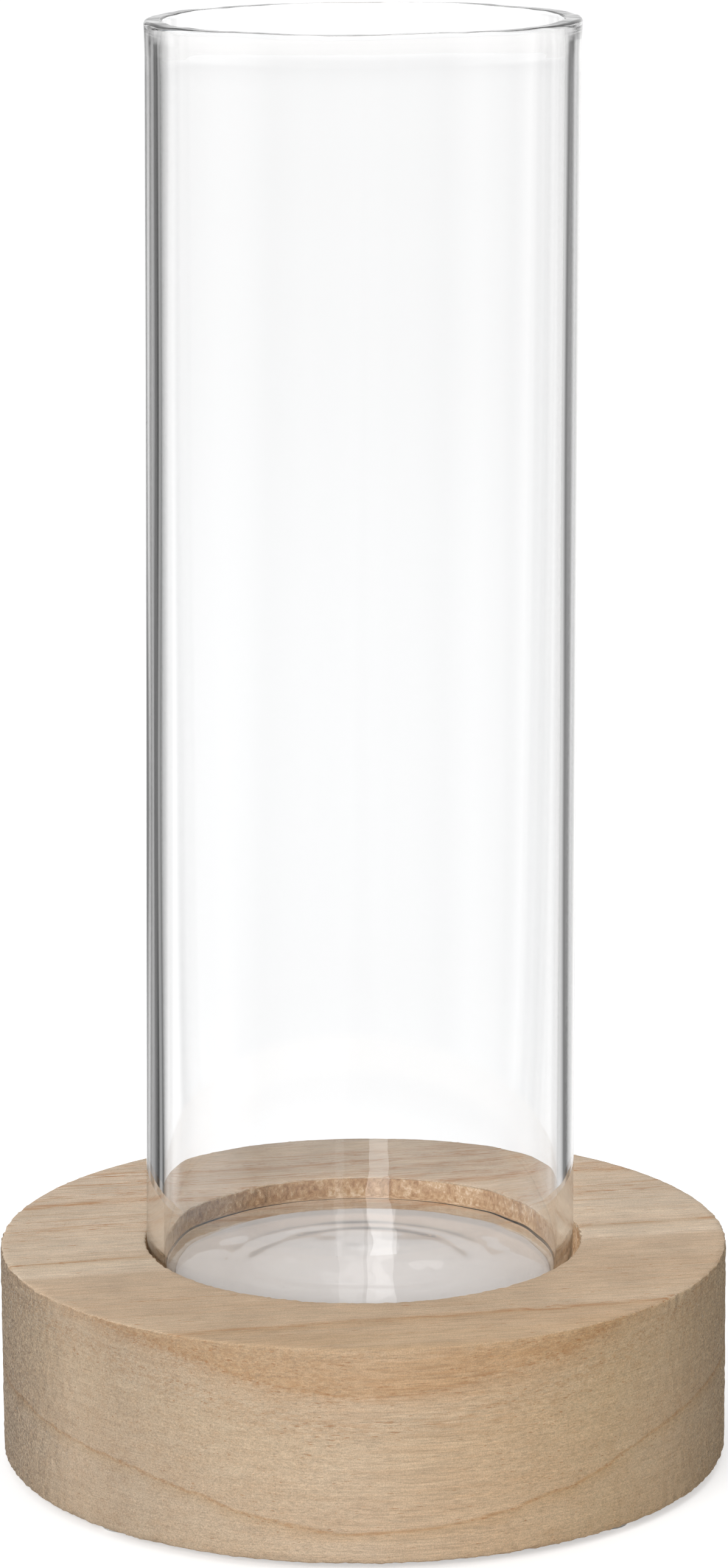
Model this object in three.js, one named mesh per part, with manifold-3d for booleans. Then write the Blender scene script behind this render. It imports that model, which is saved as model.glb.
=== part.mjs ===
// A clear glass cylinder vase that stands loose in a round wooden base with a battery lamp in it.
// Lengths are in millimetres and +Z is up. The origin lies on the surface the vase stands on, on the
// base's axis. Heights below are counted from the wood's underside, which the foot pads lift.

import * as THREE from "three";
import { mergeVertices } from "three/addons/utils/BufferGeometryUtils.js";
import Module from "manifold-3d";

const wasm = await Module();
wasm.setup();

// How finely round shapes are divided
const largeFacets = 60;
const innerFacets = 48;
const smallFacets = 24;
const pinFacets = 16;
const arcSteps = 4;
const wireSides = 8;
const springSides = 6;
const stepsPerTurn = 8;
const mergeTolerance = 1e-4;
const cutOvershoot = 1;

// Clearances
const contactGap = 0.3;
const glassPlay = 0.8;
const hingeHoleGap = 0.3;
const catchGap = 0.1;
const cornerRoom = 0.75;

// Wooden base
const baseRadius = 50;
const baseLowerRounding = 0.8;
const baseUpperRounding = 0.35;
const recessDepth = 7;
const recessLip = 0.3;
const webThickness = 4.65;

// Glass vessel
const glassRadius = 29.25;
const glassLength = 174;
const glassWall = 2.35;
const glassFloor = 4;
const glassFootRounding = 1.8;
const glassInnerRounding = 3;
const puntRadius = 17.6;
const puntDepth = 0.7;
const rimSwell = 0.25;
const rimInnerSwell = 0.15;
const rimReach = 3.4;

// Lamp housing
const flangeInset = 0.2;
const flangeThickness = 1.6;
const flangeLedge = 5.5;
const cupWall = 1.6;
const bayWall = 1.2;
const dividerThickness = 1.5;
const seatRingHeight = 0.6;
const seatRingOverlap = 2.5;
const boardBossHeight = 0.3;
const boardBossRadius = 2;
const boardBossCount = 3;
const boardBossInset = 4;
const wireHoleRadius = 1.1;
const wireHoleOffset = 2;
const scoopRadius = 6;
const scoopDepth = 0.9;

// Opal diffuser
const diffuserRadius = 25.7;
const diffuserWall = 1.5;
const diffuserRounding = 0.8;
const diffuserFootWidth = 2.8;
const diffuserFootThickness = 1.2;
const boardStepWidth = 0.4;

// Circuit board and what is soldered to it
const boardThickness = 1;
const boardNotchRadius = 1.2;
const boardNotchCount = 2;
const ledCount = 6;
const ledCircleRadius = 14;
const ledSide = 5;
const ledCorner = 0.5;
const ledHeight = 1.6;
const ledWindowRadius = 2;
const ledWindowDepth = 0.25;
const resistorLength = 3.2;
const resistorWidth = 1.6;
const resistorHeight = 0.6;

// Three AAA cells side by side, turned about in a row
const cellRadius = 5.25;
const cellLength = 44.5;
const cellButtonRadius = 1.9;
const cellButtonHeight = 1;
const cellShoulder = 0.4;
const cellPitch = 11.5;
const cellHeadroom = 1.35;

// Spring contacts
const plateThickness = 0.4;
const plateWidth = 8;
const plateHeight = 8.4;
const dimpleRadius = 1.8;
const dimpleHeight = 0.5;
const tailHeight = 3;
const tailReach = 1.8;
const springLength = 6;
const springBaseRadius = 3.6;
const springTipRadius = 2.4;
const springWireRadius = 0.3;
const springTurns = 4.5;

// Battery hatch
const knuckleRadius = 1.3;
const trunnionRadius = 0.6;
const trunnionLength = 1;
const hatchRibWidth = 1.2;
const hatchRibHeight = 2;
const hatchRibInset = 4;
const latchWidth = 10;
const latchLength = 8;
const latchSlot = 0.8;
const nibHeight = 0.8;

// Slide switch on the underside
const switchLength = 9;
const switchWidth = 4;
const switchHeight = 4;
const switchWall = 0.7;
const switchTravel = 2;
const switchSlot = 2.4;
const sliderPlateThickness = 1;
const knobLength = 2;
const knobWidth = 1.8;
const knobProud = 0.6;
const terminalWidth = 0.6;
const terminalHeight = 2;
const terminalPitch = 2.5;

// Wires, screws and foot pads
const wireRadius = 0.6;
const wireSteps = 16;
const screwCount = 4;
const screwShankRadius = 1.2;
const screwHeadRadius = 2.2;
const screwHeadHeight = 1.2;
const screwLength = 9;
const screwTip = 1.5;
const screwRecessWidth = 0.5;
const screwRecessLength = 2.2;
const screwRecessDepth = 0.7;
const padCount = 4;
const padRadius = 3;
const padThickness = 0.8;
const padRounding = 0.25;

// Heights of the stack inside the base
const flangeTop = flangeInset + flangeThickness;
const cellAxisHeight = flangeTop + cellHeadroom + cellRadius;
const dividerUnderside = cellAxisHeight + cellRadius + contactGap;
const dividerTop = dividerUnderside + dividerThickness;
const boardUnderside = dividerTop + boardBossHeight + contactGap;
const boardTop = boardUnderside + boardThickness;
const diffuserFootUnderside = dividerTop + seatRingHeight + contactGap;
const diffuserFootTop = diffuserFootUnderside + diffuserFootThickness;
const boardShoulder = boardTop + contactGap;
const cavityDepth = diffuserFootTop + contactGap;
const recessFloor = cavityDepth + webThickness;
const baseHeight = recessFloor + recessDepth;
const diffuserTop = recessFloor - contactGap;
const glassUnderside = recessFloor + contactGap;

// The battery bay, from the cells outwards
const springEndRoom = 2 * contactGap + springLength;
const buttonEndRoom = contactGap + dimpleHeight;
const plateRoom = contactGap + plateThickness;
const bayHalfLength = (cellLength + springEndRoom + buttonEndRoom + 2 * plateRoom) / 2;
const bayHalfWidth = cellPitch + cellRadius + contactGap;
const bayOuterLength = bayHalfLength + bayWall;
const bayOuterWidth = bayHalfWidth + bayWall;
const plateFace = bayHalfLength - plateRoom;
const buttonTip = plateFace - buttonEndRoom;

// Radii that follow from it
const cupInnerRadius = Math.hypot(bayOuterLength, bayOuterWidth) + cornerRoom;
const cupOuterRadius = cupInnerRadius + cupWall;
const cavityRadius = cupOuterRadius + contactGap;
const flangeRadius = cavityRadius + flangeLedge;
const rebateRadius = flangeRadius + contactGap;
const rebateDepth = flangeTop + contactGap;
const screwCircleRadius = (cavityRadius + flangeRadius) / 2;
const padCircleRadius = (rebateRadius + baseRadius - baseLowerRounding) / 2;
const diffuserOpeningRadius = diffuserRadius + contactGap;
const boardRadius = diffuserRadius - boardStepWidth - contactGap;
const recessRadius = glassRadius + glassPlay;
const switchCentre = -(bayOuterWidth + cupInnerRadius) / 2;
const wireHoleDistance = bayOuterWidth + wireHoleOffset;

// Hatch and switch
const hatchHalfLength = bayHalfLength - contactGap;
const hatchHalfWidth = bayHalfWidth - contactGap;
const hingeX = knuckleRadius - hatchHalfLength;
const hingeHeight = flangeInset + knuckleRadius;
const switchUnderside = flangeTop + contactGap;
const switchTop = switchUnderside + switchHeight;
const sliderPlateLength = switchLength - 2 * (switchWall + contactGap) - switchTravel;
const sliderPlateWidth = switchWidth - 2 * (switchWall + contactGap);
const sliderPlateUnderside = switchUnderside + switchWall + contactGap;
const sliderPlateTop = sliderPlateUnderside + sliderPlateThickness;

const points = (...pairs) => pairs.map(([r, z]) => new THREE.Vector2(r, z));

// Points on a round stretch of an outline, about (r, z), from one angle in degrees to another
function arc(r, z, radius, from, to, steps = arcSteps) {
  return Array.from({ length: steps + 1 }, (_, i) => {
    const angle = THREE.MathUtils.degToRad(from + ((to - from) * i) / steps);
    return new THREE.Vector2(r + radius * Math.cos(angle), z + radius * Math.sin(angle));
  });
}

// A closed mesh as a solid that can be joined and cut
function solid(geometry) {
  const bare = geometry.clone();
  bare.deleteAttribute("normal");
  bare.deleteAttribute("uv");
  const merged = mergeVertices(bare, mergeTolerance);
  const corners = merged.index.array;
  const kept = [];
  for (let i = 0; i < corners.length; i += 3) {
    const [a, b, c] = corners.slice(i, i + 3);
    if (a !== b && b !== c && c !== a) kept.push(a, b, c);
  }
  const vertProperties = Float32Array.from(merged.attributes.position.array);
  return new wasm.Manifold(new wasm.Mesh({ numProp: 3, vertProperties, triVerts: Uint32Array.from(kept) }));
}

const join = (first, ...others) => others.reduce((whole, other) => whole.add(other), first);
const cut = (first, ...tools) => tools.reduce((whole, tool) => whole.subtract(tool), first);

// An outline of (radius, height) turned about Z; a ring's outline is closed on itself
function turned(outline, facets = largeFacets, ring = false) {
  const profile = ring ? [...outline, outline[0]] : outline;
  return solid(new THREE.LatheGeometry(profile, facets).rotateX(Math.PI / 2));
}

// A block between two heights, centred on (x, y)
function block(length, width, low, high, x = 0, y = 0) {
  return solid(new THREE.BoxGeometry(length, width, high - low).translate(x, y, (low + high) / 2));
}

// An upright cylinder between two heights
function post(radius, low, high, x = 0, y = 0, facets = smallFacets) {
  const geometry = new THREE.CylinderGeometry(radius, radius, high - low, facets);
  return solid(geometry.rotateX(Math.PI / 2).translate(x, y, (low + high) / 2));
}

// A cylinder that lies along Y
function crossRod(radius, length, x, y, z) {
  return solid(new THREE.CylinderGeometry(radius, radius, length, pinFacets).translate(x, y, z));
}

// A regular outline, for the section of a wire
function roundSection(radius, sides) {
  return new THREE.Shape(arc(0, 0, radius, 0, 360, sides).slice(0, sides));
}

function tube(path, radius, sides, steps) {
  const options = { steps, bevelEnabled: false, extrudePath: path };
  return solid(new THREE.ExtrudeGeometry(roundSection(radius, sides), options));
}

// A count of places round the axis, from a first angle in degrees
function places(count, radius, first = 0) {
  return Array.from({ length: count }, (_, i) => {
    const angle = THREE.MathUtils.degToRad(first) + (2 * Math.PI * i) / count;
    return { x: radius * Math.cos(angle), y: radius * Math.sin(angle), angle };
  });
}

function geometryOf(shape) {
  const mesh = shape.getMesh();
  const geometry = new THREE.BufferGeometry();
  geometry.setAttribute("position", new THREE.BufferAttribute(mesh.vertProperties, 3));
  geometry.setIndex(new THREE.BufferAttribute(mesh.triVerts, 1));
  const flat = geometry.toNonIndexed();
  flat.computeVertexNormals();
  return flat;
}

const finishes = {
  wood: { color: 0xcbb092, roughness: 0.85, metalness: 0 },
  glass: { color: 0xf3f7f7, roughness: 0.03, metalness: 0, transparent: true, opacity: 0.3 },
  opal: { color: 0xf1f1ee, roughness: 0.4, metalness: 0 },
  housingPlastic: { color: 0xe9e9e6, roughness: 0.5, metalness: 0 },
  switchPlastic: { color: 0x1f2022, roughness: 0.5, metalness: 0 },
  circuitBoard: { color: 0xe6ebe6, roughness: 0.45, metalness: 0 },
  ledPlastic: { color: 0xf3e9b4, roughness: 0.35, metalness: 0 },
  resistorCeramic: { color: 0x26282b, roughness: 0.5, metalness: 0 },
  cellJacket: { color: 0x41464d, roughness: 0.35, metalness: 0.2 },
  nickel: { color: 0xc4c6c4, roughness: 0.28, metalness: 1 },
  zincSteel: { color: 0xb5b8bb, roughness: 0.32, metalness: 1 },
  redWire: { color: 0xb3241f, roughness: 0.5, metalness: 0 },
  blackWire: { color: 0x1b1b1c, roughness: 0.5, metalness: 0 },
  padRubber: { color: 0xe3e2dd, roughness: 0.7, metalness: 0 },
};

function piece(name, shape, finish) {
  const mesh = new THREE.Mesh(geometryOf(shape), new THREE.MeshStandardMaterial(finishes[finish]));
  mesh.name = name;
  return mesh;
}

function placed(mesh, x, y, z, turn = 0) {
  mesh.position.set(x, y, z);
  mesh.rotation.z = turn;
  return mesh;
}

// The glass: a straight cylinder with a thick floor, a shallow hollow under it and a melted, swollen rim
function glassVessel() {
  const inner = glassRadius - glassWall;
  const rimRadius = (glassWall + rimSwell + rimInnerSwell) / 2;
  const rimCentre = glassRadius + rimSwell - rimRadius;
  const rimHeight = glassLength - rimRadius;
  const footStart = glassRadius - glassFootRounding;
  const floorEnd = inner - glassInnerRounding;
  const punt = Array.from({ length: arcSteps + 1 }, (_, i) => {
    const share = i / arcSteps;
    return new THREE.Vector2(puntRadius * share, puntDepth * Math.cos((Math.PI / 2) * share) ** 2);
  });
  return turned([
    ...punt,
    ...arc(footStart, glassFootRounding, glassFootRounding, -90, 0),
    ...points([glassRadius, glassLength - rimReach]),
    ...arc(rimCentre, rimHeight, rimRadius, 0, 180, 2 * arcSteps),
    ...points([inner, glassLength - rimReach]),
    ...arc(floorEnd, glassFloor + glassInnerRounding, glassInnerRounding, 0, -90),
    ...points([0, glassFloor]),
  ]);
}

// The wood: a thick ring with a recess for the glass on top and a stepped cavity for the lamp below
function woodBase() {
  const lower = baseRadius - baseLowerRounding;
  const upper = baseRadius - baseUpperRounding;
  const ring = turned(
    [
      ...points([rebateRadius, 0]),
      ...arc(lower, baseLowerRounding, baseLowerRounding, -90, 0),
      ...arc(upper, baseHeight - baseUpperRounding, baseUpperRounding, 0, 90, 2),
      ...points(
        [recessRadius + recessLip, baseHeight],
        [recessRadius, baseHeight - recessLip],
        [recessRadius, recessFloor],
        [diffuserOpeningRadius, recessFloor],
        [diffuserOpeningRadius, cavityDepth],
        [cavityRadius, cavityDepth],
        [cavityRadius, rebateDepth],
        [rebateRadius, rebateDepth],
      ),
    ],
    largeFacets,
    true,
  );
  const holeRadius = screwShankRadius + contactGap;
  const holeEnd = flangeInset + screwLength + 2 * contactGap;
  const pilotHoles = places(screwCount, screwCircleRadius, 45).map(({ x, y }) =>
    post(holeRadius, rebateDepth - cutOvershoot, holeEnd, x, y),
  );
  return cut(ring, ...pilotHoles);
}

// The opal cap: its foot is caught under the wood's web and its step holds the board down
function diffuser() {
  const skirt = diffuserRadius - diffuserWall;
  const foot = diffuserRadius + diffuserFootWidth;
  const step = diffuserRadius - boardStepWidth;
  const ceiling = diffuserTop - diffuserWall;
  const outline = [
    ...points([0, ceiling], [skirt, ceiling], [skirt, boardShoulder], [step, boardShoulder]),
    ...points([step, diffuserFootUnderside], [foot, diffuserFootUnderside], [foot, diffuserFootTop]),
    ...points([diffuserRadius, diffuserFootTop]),
    ...arc(diffuserRadius - diffuserRounding, diffuserTop - diffuserRounding, diffuserRounding, 0, 90),
    ...points([0, diffuserTop]),
  ];
  return turned(outline, innerFacets);
}

// The housing before it is cut: flange, cup wall and the block that the battery bay is cut from
function housingShell() {
  const flange = post(flangeRadius, flangeInset, flangeTop, 0, 0, innerFacets);
  const wall = turned(
    points(
      [cupInnerRadius, flangeInset],
      [cupOuterRadius, flangeInset],
      [cupOuterRadius, cavityDepth - contactGap],
      [cupInnerRadius, cavityDepth - contactGap],
    ),
    innerFacets,
    true,
  );
  const bayTop = dividerUnderside - contactGap;
  const bay = block(2 * bayOuterLength, 2 * bayOuterWidth, flangeInset, bayTop);
  return join(flange, wall, bay);
}

// The cover that closes the bay: a disc with a ring for the diffuser's foot and bosses for the board
function housingCover() {
  const ringInner = diffuserRadius + contactGap;
  const ringOuter = ringInner + seatRingOverlap;
  const coverRadius = cupInnerRadius - contactGap;
  const disc = post(coverRadius, dividerUnderside, dividerTop, 0, 0, innerFacets);
  const seatRing = turned(
    points(
      [ringInner, dividerUnderside],
      [ringOuter, dividerUnderside],
      [ringOuter, dividerTop + seatRingHeight],
      [ringInner, dividerTop + seatRingHeight],
    ),
    innerFacets,
    true,
  );
  const bosses = places(boardBossCount, boardRadius - boardBossInset).map(({ x, y }) =>
    post(boardBossRadius, dividerUnderside, dividerTop + boardBossHeight, x, y),
  );
  const holeLow = dividerUnderside - cutOvershoot;
  const holeHigh = dividerTop + cutOvershoot;
  const wireHoles = [-1, 1].map((side) =>
    post(wireHoleRadius, holeLow, holeHigh, 0, side * wireHoleDistance, pinFacets),
  );
  return cut(join(disc, seatRing, ...bosses), ...wireHoles);
}

// A screw's way through the flange, with a countersink that follows the screw's head
function flangeHole({ x, y }) {
  const hole = screwShankRadius + contactGap;
  const mouth = screwHeadRadius + contactGap;
  const coneTop = flangeInset + screwHeadHeight + contactGap;
  const outline = points(
    [0, flangeInset - cutOvershoot],
    [mouth, flangeInset - cutOvershoot],
    [mouth, flangeInset + contactGap],
    [hole, coneTop],
    [hole, flangeTop + cutOvershoot],
    [0, flangeTop + cutOvershoot],
  );
  const geometry = new THREE.LatheGeometry(outline, smallFacets).rotateX(Math.PI / 2);
  return solid(geometry.translate(x, y, 0));
}

function lampHousing() {
  const bayInside = block(
    2 * bayHalfLength,
    2 * bayHalfWidth,
    flangeInset - cutOvershoot,
    dividerUnderside,
  );
  const hingeHoles = crossRod(
    trunnionRadius + hingeHoleGap,
    2 * (hatchHalfWidth + contactGap + trunnionLength + contactGap),
    hingeX,
    0,
    hingeHeight,
  );
  const knobSlot = block(
    knobLength + switchTravel + 2 * contactGap,
    knobWidth + 2 * contactGap,
    flangeInset - cutOvershoot,
    flangeTop + cutOvershoot,
    0,
    switchCentre,
  );
  const tailSlots = [-1, 1].map((side) =>
    block(
      plateThickness + 2 * contactGap,
      bayWall + 2 * cutOvershoot,
      cellAxisHeight - tailHeight / 2 - contactGap,
      cellAxisHeight + tailHeight / 2 + contactGap,
      side * (plateFace + plateThickness / 2),
      side * (bayHalfWidth + bayWall / 2),
    ),
  );
  const scoop = post(scoopRadius, flangeInset - cutOvershoot, flangeInset + scoopDepth, bayHalfLength);
  const screwHoles = places(screwCount, screwCircleRadius, 45).map(flangeHole);
  const cuts = [bayInside, hingeHoles, knobSlot, scoop, ...tailSlots, ...screwHoles];
  return cut(housingShell(), ...cuts);
}

// The hatch, with its hinge line on the origin: plate, knuckle, trunnions, ribs and a sprung latch
function batteryHatch() {
  const low = -knuckleRadius;
  const high = low + flangeThickness;
  const length = hatchHalfLength - hingeX;
  const plate = block(length, 2 * hatchHalfWidth, low, high, length / 2);
  const knuckle = crossRod(knuckleRadius, 2 * hatchHalfWidth, 0, 0, 0);
  const pin = crossRod(trunnionRadius, 2 * (hatchHalfWidth + contactGap + trunnionLength), 0, 0, 0);
  const ribLength = length - 2 * hatchRibInset - latchLength;
  const ribs = [-1, 1].map((side) =>
    block(
      ribLength,
      hatchRibWidth,
      low,
      high + hatchRibHeight,
      hatchRibInset + ribLength / 2,
      (side * cellPitch) / 2,
    ),
  );
  const nib = block(contactGap, latchWidth, high - nibHeight, high, length + contactGap / 2 - catchGap);
  const latchSlots = [-1, 1].map((side) =>
    block(
      latchLength,
      latchSlot,
      low - cutOvershoot,
      high + cutOvershoot,
      length - latchLength / 2 + cutOvershoot,
      side * (latchWidth + latchSlot) * 0.5,
    ),
  );
  return cut(join(plate, knuckle, pin, nib, ...ribs), ...latchSlots);
}

function circuitBoard() {
  const disc = post(boardRadius, boardUnderside, boardTop, 0, 0, innerFacets);
  const notches = places(boardNotchCount, boardRadius).map(({ x, y }) =>
    post(boardNotchRadius, boardUnderside - cutOvershoot, boardTop + cutOvershoot, x, y),
  );
  return cut(disc, ...notches);
}

// A light-emitting diode: a square body with rounded corners and a round window sunk in its top
function ledBody() {
  const half = ledSide / 2;
  const inset = half - ledCorner;
  const corners = [
    ...arc(inset, inset, ledCorner, 0, 90, 2),
    ...arc(-inset, inset, ledCorner, 90, 180, 2),
    ...arc(-inset, -inset, ledCorner, 180, 270, 2),
    ...arc(inset, -inset, ledCorner, 270, 360, 2),
  ];
  const outline = new THREE.Shape(corners);
  const body = solid(new THREE.ExtrudeGeometry(outline, { depth: ledHeight, bevelEnabled: false }));
  return cut(body, post(ledWindowRadius, ledHeight - ledWindowDepth, ledHeight + cutOvershoot));
}

// A cell standing on its flat end, with its button up
function cell() {
  const body = cellLength - cellButtonHeight;
  return turned(
    points(
      [0, 0],
      [cellRadius - cellShoulder, 0],
      [cellRadius, cellShoulder],
      [cellRadius, body - cellShoulder],
      [cellRadius - cellShoulder, body],
      [cellButtonRadius, body],
      [cellButtonRadius, cellLength],
      [0, cellLength],
    ),
    smallFacets,
  );
}

// A conical coil along X, from its wide end on the plate at x = 0 to its narrow end on the cell
class ConicalCoil extends THREE.Curve {
  getPoint(share, target = new THREE.Vector3()) {
    const angle = 2 * Math.PI * springTurns * share;
    const radius = THREE.MathUtils.lerp(springBaseRadius, springTipRadius, share);
    const along = THREE.MathUtils.lerp(springWireRadius, springLength - springWireRadius, share);
    return target.set(along, radius * Math.cos(angle), radius * Math.sin(angle));
  }
}

const cellSpring = () => tube(new ConicalCoil(), springWireRadius, springSides, springTurns * stepsPerTurn);

// A contact plate across one or two cells, in the YZ plane with its inner face at x = 0
function contactPlate(fromY, toY, dimpleY, tailSide = 0) {
  const thickness = plateThickness;
  const width = Math.abs(toY - fromY) + plateWidth;
  const middle = (fromY + toY) / 2;
  let shape = block(thickness, width, -plateHeight / 2, plateHeight / 2, -thickness / 2, middle);
  if (dimpleY !== null) {
    const dome = points([0, -thickness / 2], [dimpleRadius, -thickness / 2], [dimpleRadius, 0]);
    const top = points([dimpleRadius / 2, dimpleHeight], [0, dimpleHeight]);
    const geometry = new THREE.LatheGeometry([...dome, ...top], smallFacets).rotateX(Math.PI / 2);
    shape = join(shape, solid(geometry.rotateY(Math.PI / 2).translate(0, dimpleY, 0)));
  }
  if (tailSide !== 0) {
    const tailEnd = bayOuterWidth + tailReach;
    const tail = block(
      thickness,
      tailEnd - Math.abs(middle),
      -tailHeight / 2,
      tailHeight / 2,
      -thickness / 2,
      (tailSide * (tailEnd + Math.abs(middle))) / 2,
    );
    shape = join(shape, tail);
  }
  return shape;
}

function switchBody() {
  const insideLength = switchLength - 2 * switchWall;
  const insideWidth = switchWidth - 2 * switchWall;
  const body = block(switchLength, switchWidth, switchUnderside, switchTop, 0, switchCentre);
  const inside = block(
    insideLength,
    insideWidth,
    switchUnderside + switchWall,
    sliderPlateTop + contactGap,
    0,
    switchCentre,
  );
  const slot = block(
    knobLength + switchTravel + 2 * contactGap,
    switchSlot,
    switchUnderside - cutOvershoot,
    switchUnderside + switchWall + cutOvershoot,
    0,
    switchCentre,
  );
  const terminals = [-1, 0, 1].map((place) =>
    block(
      terminalWidth,
      terminalWidth,
      switchTop - switchWall,
      switchTop + terminalHeight,
      place * terminalPitch,
      switchCentre,
    ),
  );
  return cut(join(body, ...terminals), inside, slot);
}

// The slider at its off end: a plate inside the switch and a knob that reaches through the flange
function switchSlider() {
  const x = -switchTravel / 2;
  const plate = block(
    sliderPlateLength,
    sliderPlateWidth,
    sliderPlateUnderside,
    sliderPlateTop,
    x,
    switchCentre,
  );
  const knob = block(knobLength, knobWidth, flangeInset - knobProud, sliderPlateTop, x, switchCentre);
  return join(plate, knob);
}

// A countersunk wood screw, point up, with its head's face at z = 0
function housingScrew() {
  const body = turned(
    points(
      [0, 0],
      [screwHeadRadius, 0],
      [screwShankRadius, screwHeadHeight],
      [screwShankRadius, screwLength - screwTip],
      [0, screwLength],
    ),
    smallFacets,
  );
  const slots = [
    block(screwRecessLength, screwRecessWidth, -cutOvershoot, screwRecessDepth),
    block(screwRecessWidth, screwRecessLength, -cutOvershoot, screwRecessDepth),
  ];
  return cut(body, join(...slots));
}

// A rubber foot with its upper face at z = 0
function footPad() {
  const edge = arc(padRadius - padRounding, padRounding - padThickness, padRounding, -90, 0, 2);
  return turned([...points([0, -padThickness]), ...edge, ...points([padRadius, 0], [0, 0])], smallFacets);
}

function wire(name, route, finish) {
  const path = new THREE.CatmullRomCurve3(route.map((place) => new THREE.Vector3(...place)));
  return piece(name, tube(path, wireRadius, wireSides, wireSteps), finish);
}

// The three wires lie beside the bay: contact to switch, switch to board, and contact to board
function wires() {
  const tailEnd = bayOuterWidth + tailReach;
  const tailX = plateFace + plateThickness / 2;
  const tailLevel = cellAxisHeight;
  const besideTail = tailEnd + contactGap + wireRadius;
  const pinLevel = switchTop + terminalHeight + contactGap + wireRadius;
  const boardEnd = boardUnderside - contactGap;
  const underDivider = dividerUnderside - 2 * wireRadius;
  return [
    wire(
      "wire_positive",
      [
        [-tailX + wireRadius, -besideTail, tailLevel - wireRadius],
        [-tailX * 0.8, -besideTail - wireRadius, tailLevel],
        [-tailX * 0.45, (switchCentre - besideTail) / 2, pinLevel + wireRadius],
        [-terminalPitch - 2 * wireRadius, switchCentre, pinLevel + wireRadius],
        [-terminalPitch, switchCentre, pinLevel],
      ],
      "redWire",
    ),
    wire(
      "wire_switched",
      [
        [0, switchCentre, pinLevel],
        [0, switchCentre + 2 * wireRadius, pinLevel + 2 * wireRadius],
        [0, -wireHoleDistance - wireRadius, underDivider - wireRadius],
        [0, -wireHoleDistance, dividerUnderside],
        [0, -wireHoleDistance, boardEnd],
      ],
      "redWire",
    ),
    wire(
      "wire_negative",
      [
        [tailX - wireRadius, besideTail, tailLevel - wireRadius],
        [tailX * 0.8, besideTail + wireRadius, tailLevel],
        [tailX * 0.4, besideTail + 4 * wireRadius, tailLevel + 2 * wireRadius],
        [3 * wireRadius, wireHoleDistance + 2 * wireRadius, underDivider - 2 * wireRadius],
        [0, wireHoleDistance, dividerUnderside],
        [0, wireHoleDistance, boardEnd],
      ],
      "blackWire",
    ),
  ];
}

// The board with its diodes and their resistor, under the diffuser
function lightSource() {
  const group = new THREE.Group();
  group.add(piece("led_board", circuitBoard(), "circuitBoard"));
  places(ledCount, ledCircleRadius).forEach(({ x, y, angle }, i) => {
    const led = piece("led_" + (i + 1), ledBody(), "ledPlastic");
    group.add(placed(led, x, y, boardTop + contactGap, angle));
  });
  const resistor = block(resistorLength, resistorWidth, 0, resistorHeight);
  group.add(placed(piece("led_resistor", resistor, "resistorCeramic"), 0, 0, boardTop + contactGap));
  return group;
}

// Three cells in series: the outer two have their buttons at the left, the middle one at the right
function batteries() {
  const group = new THREE.Group();
  [-1, 0, 1].forEach((row, i) => {
    const buttonSide = row === 0 ? 1 : -1;
    const y = row * cellPitch;
    const mesh = piece("battery_" + (i + 1), cell(), "cellJacket");
    mesh.position.set(buttonSide * (buttonTip - cellLength), y, cellAxisHeight);
    mesh.rotation.y = (buttonSide * Math.PI) / 2;
    const spring = piece("battery_spring_" + (i + 1), cellSpring(), "nickel");
    spring.position.set(-buttonSide * (plateFace - contactGap), y, cellAxisHeight);
    spring.rotation.z = buttonSide === 1 ? 0 : Math.PI;
    group.add(mesh, spring);
  });
  return group;
}

// The plates that the cells press on: one for each free end and one between each two neighbours
function contacts() {
  const left = new THREE.Group();
  left.position.set(-plateFace, 0, cellAxisHeight);
  left.add(piece("contact_positive", contactPlate(-cellPitch, -cellPitch, -cellPitch, -1), "nickel"));
  left.add(piece("contact_bridge_left", contactPlate(0, cellPitch, cellPitch), "nickel"));
  const right = new THREE.Group();
  right.position.set(plateFace, 0, cellAxisHeight);
  right.rotation.z = Math.PI;
  right.add(piece("contact_negative", contactPlate(-cellPitch, -cellPitch, null, -1), "nickel"));
  right.add(piece("contact_bridge_right", contactPlate(0, cellPitch, 0), "nickel"));
  return [left, right];
}

function fasteners() {
  return places(screwCount, screwCircleRadius, 45).map(({ x, y, angle }, i) => {
    const screw = piece("housing_screw_" + (i + 1), housingScrew(), "zincSteel");
    return placed(screw, x, y, flangeInset + contactGap, angle);
  });
}

function footPads() {
  return places(padCount, padCircleRadius, 45).map(({ x, y }, i) =>
    placed(piece("foot_pad_" + (i + 1), footPad(), "padRubber"), x, y, 0),
  );
}

const vase = new THREE.Group();
vase.position.z = padThickness;
vase.add(piece("wood_base", woodBase(), "wood"));
vase.add(placed(piece("glass_vessel", glassVessel(), "glass"), 0, 0, glassUnderside));
vase.add(piece("diffuser", diffuser(), "opal"));
vase.add(lightSource());
vase.add(piece("lamp_housing", lampHousing(), "housingPlastic"));
vase.add(piece("housing_cover", housingCover(), "housingPlastic"));
vase.add(placed(piece("battery_hatch", batteryHatch(), "housingPlastic"), hingeX, 0, hingeHeight));
vase.add(batteries());
vase.add(...contacts());
vase.add(piece("switch_body", switchBody(), "switchPlastic"));
vase.add(piece("switch_slider", switchSlider(), "switchPlastic"));
vase.add(...wires());
vase.add(...fasteners());
vase.add(...footPads());

export default vase;
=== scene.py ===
import math

import bpy
import numpy as np
from mathutils import Matrix, Vector


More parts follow.
